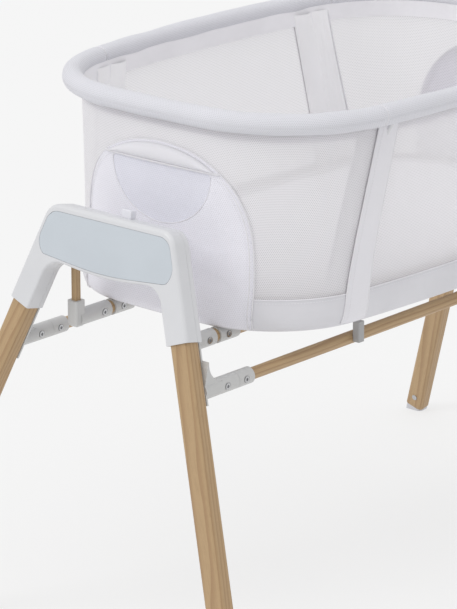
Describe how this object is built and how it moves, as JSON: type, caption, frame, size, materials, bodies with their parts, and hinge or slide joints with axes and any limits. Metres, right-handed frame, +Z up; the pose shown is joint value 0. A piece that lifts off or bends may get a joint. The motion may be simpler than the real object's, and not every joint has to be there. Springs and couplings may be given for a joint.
{
  "type": "bassinet on stand",
  "caption": "Oval mesh bassinet with padded rim, hung in a swinging cradle between two moulded saddles on splayed wooden legs.",
  "frame": {"origin": "on the floor, midway between the four feet", "axes": "+X along the basket's length, +Y across it, +Z up"},
  "size_m": [1.1982, 0.6656, 0.757],
  "materials": {
    "white_plastic": "satin white moulded plastic",
    "inlay_plastic": "matt pale blue-grey panel",
    "grey_plastic": "pale grey plastic",
    "ash_wood": "clear matt lacquer",
    "bright_steel": "bright plated",
    "coated_steel": "white powder coat",
    "mesh_fabric": "open knitted mesh",
    "rim_fabric": "padded spacer mesh",
    "plain_fabric": "plain woven, padded",
    "mattress_fabric": "quilt-free woven cover"
  },
  "bodies": {
    "stand": {"saddle_shell_left": "white_plastic", "saddle_shell_right": "white_plastic", "saddle_inlay_left": "inlay_plastic", "saddle_inlay_right": "inlay_plastic", "saddle_cover_left": "white_plastic", "saddle_cover_right": "white_plastic", "cover_screws": "bright_steel", "leg_left_front": "ash_wood", "leg_left_back": "ash_wood", "leg_right_front": "ash_wood", "leg_right_back": "ash_wood", "leg_glides": "grey_plastic", "glide_screws": "bright_steel", "leg_bracket_left_front": "white_plastic", "leg_bracket_left_back": "white_plastic", "leg_bracket_right_front": "white_plastic", "leg_bracket_right_back": "white_plastic", "rail_collar_left_front": "white_plastic", "rail_collar_left_back": "white_plastic", "rail_collar_right_front": "white_plastic", "rail_collar_right_back": "white_plastic", "outer_rail_front": "ash_wood", "outer_rail_back": "ash_wood", "rail_bolts": "bright_steel", "rail_bumpers": "grey_plastic", "pivot_pin_left": "bright_steel", "pivot_pin_right": "bright_steel"},
    "lock_left": {"lock_tab_left": "grey_plastic"},
    "lock_right": {"lock_tab_right": "grey_plastic"},
    "cradle": {"hanger_plate_left": "white_plastic", "hanger_plate_right": "white_plastic", "pivot_bushes": "grey_plastic", "hanger_post_left_front": "ash_wood", "hanger_post_left_back": "ash_wood", "hanger_post_right_front": "ash_wood", "hanger_post_right_back": "ash_wood", "cradle_connector_left_front": "white_plastic", "cradle_connector_left_back": "white_plastic", "cradle_connector_right_front": "white_plastic", "cradle_connector_right_back": "white_plastic", "cradle_rail_front": "ash_wood", "cradle_rail_back": "ash_wood", "seat_collars": "white_plastic", "cradle_bolts": "bright_steel"},
    "basket": {"base_board": "ash_wood", "rim_tube": "coated_steel", "rim_sleeve": "rim_fabric", "corner_stays": "coated_steel", "side_mesh_front": "mesh_fabric", "side_mesh_back": "mesh_fabric", "end_mesh_left": "mesh_fabric", "end_mesh_right": "mesh_fabric", "corner_bands": "plain_fabric", "base_skirt": "plain_fabric", "arch_panel_left": "plain_fabric", "arch_panel_right": "plain_fabric", "carry_grip_left": "plain_fabric", "carry_grip_right": "plain_fabric", "hand_pockets": "plain_fabric"},
    "mattress": {"mattress": "mattress_fabric"}
  },
  "joints": [
    {"name": "cradle_swing", "type": "hinge", "parent": "stand", "child": "cradle", "pos_m": [0, 0, 0.575], "axis": [1, 0, 0], "range_deg": [-5, 5]},
    {"name": "basket_lift", "type": "slide", "parent": "cradle", "child": "basket", "axis": [0, 0, 1], "range_m": [0, 0.35]},
    {"name": "mattress_lift", "type": "slide", "parent": "basket", "child": "mattress", "axis": [0, 0, 1], "range_m": [0, 0.3]},
    {"name": "lock_left_press", "type": "slide", "parent": "stand", "child": "lock_left", "axis": [-0.2031, 0, -0.9792], "range_m": [0, 0.006]},
    {"name": "lock_right_press", "type": "slide", "parent": "stand", "child": "lock_right", "axis": [0.2031, 0, -0.9792], "range_m": [0, 0.006]}
  ]
}
